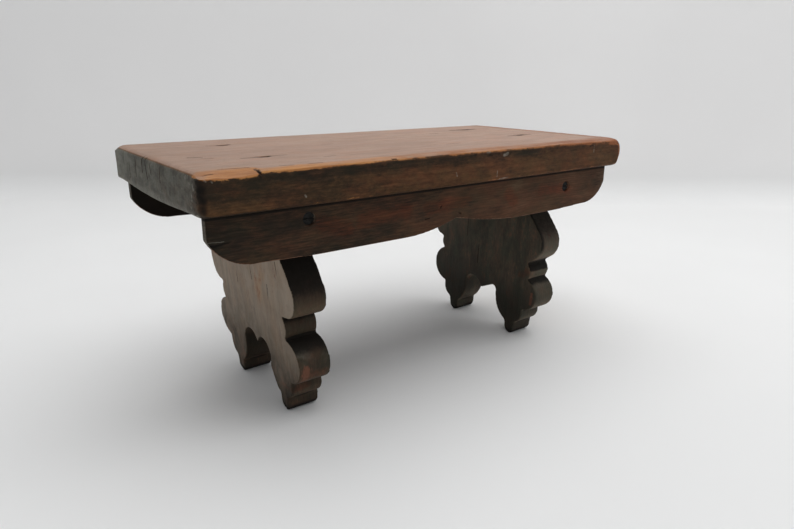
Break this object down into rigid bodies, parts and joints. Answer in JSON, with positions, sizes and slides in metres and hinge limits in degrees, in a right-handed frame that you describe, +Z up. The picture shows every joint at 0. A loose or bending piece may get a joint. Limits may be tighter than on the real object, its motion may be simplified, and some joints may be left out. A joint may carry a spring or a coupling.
{
  "type": "shoe fitting stool",
  "caption": "Small old wooden footstool with a thick worn board, scroll-sawn leg boards and shaped aprons held by sunk nails and screws.",
  "frame": {"origin": "On the floor, under the middle of the top board.", "axes": "+Z up, +X along the board to its rounded end, -Y towards the front apron"},
  "size_m": [0.383, 0.177, 0.185],
  "materials": {
    "board_wood": "old worn stain, matt, bare on the edges",
    "apron_wood": "dark brown stain, matt",
    "leg_wood": "dark and grey-brown stain, matt",
    "nail_iron": "dark, rusted",
    "screw_iron": "dull grey, worn"
  },
  "bodies": {
    "root": {"top_board": "board_wood", "front_apron": "apron_wood", "back_apron": "apron_wood", "left_leg": "leg_wood", "right_leg": "leg_wood", "top_nails_left": "nail_iron", "top_nails_right": "nail_iron", "front_apron_screws": "screw_iron", "back_apron_screws": "screw_iron"}
  },
  "joints": []
}
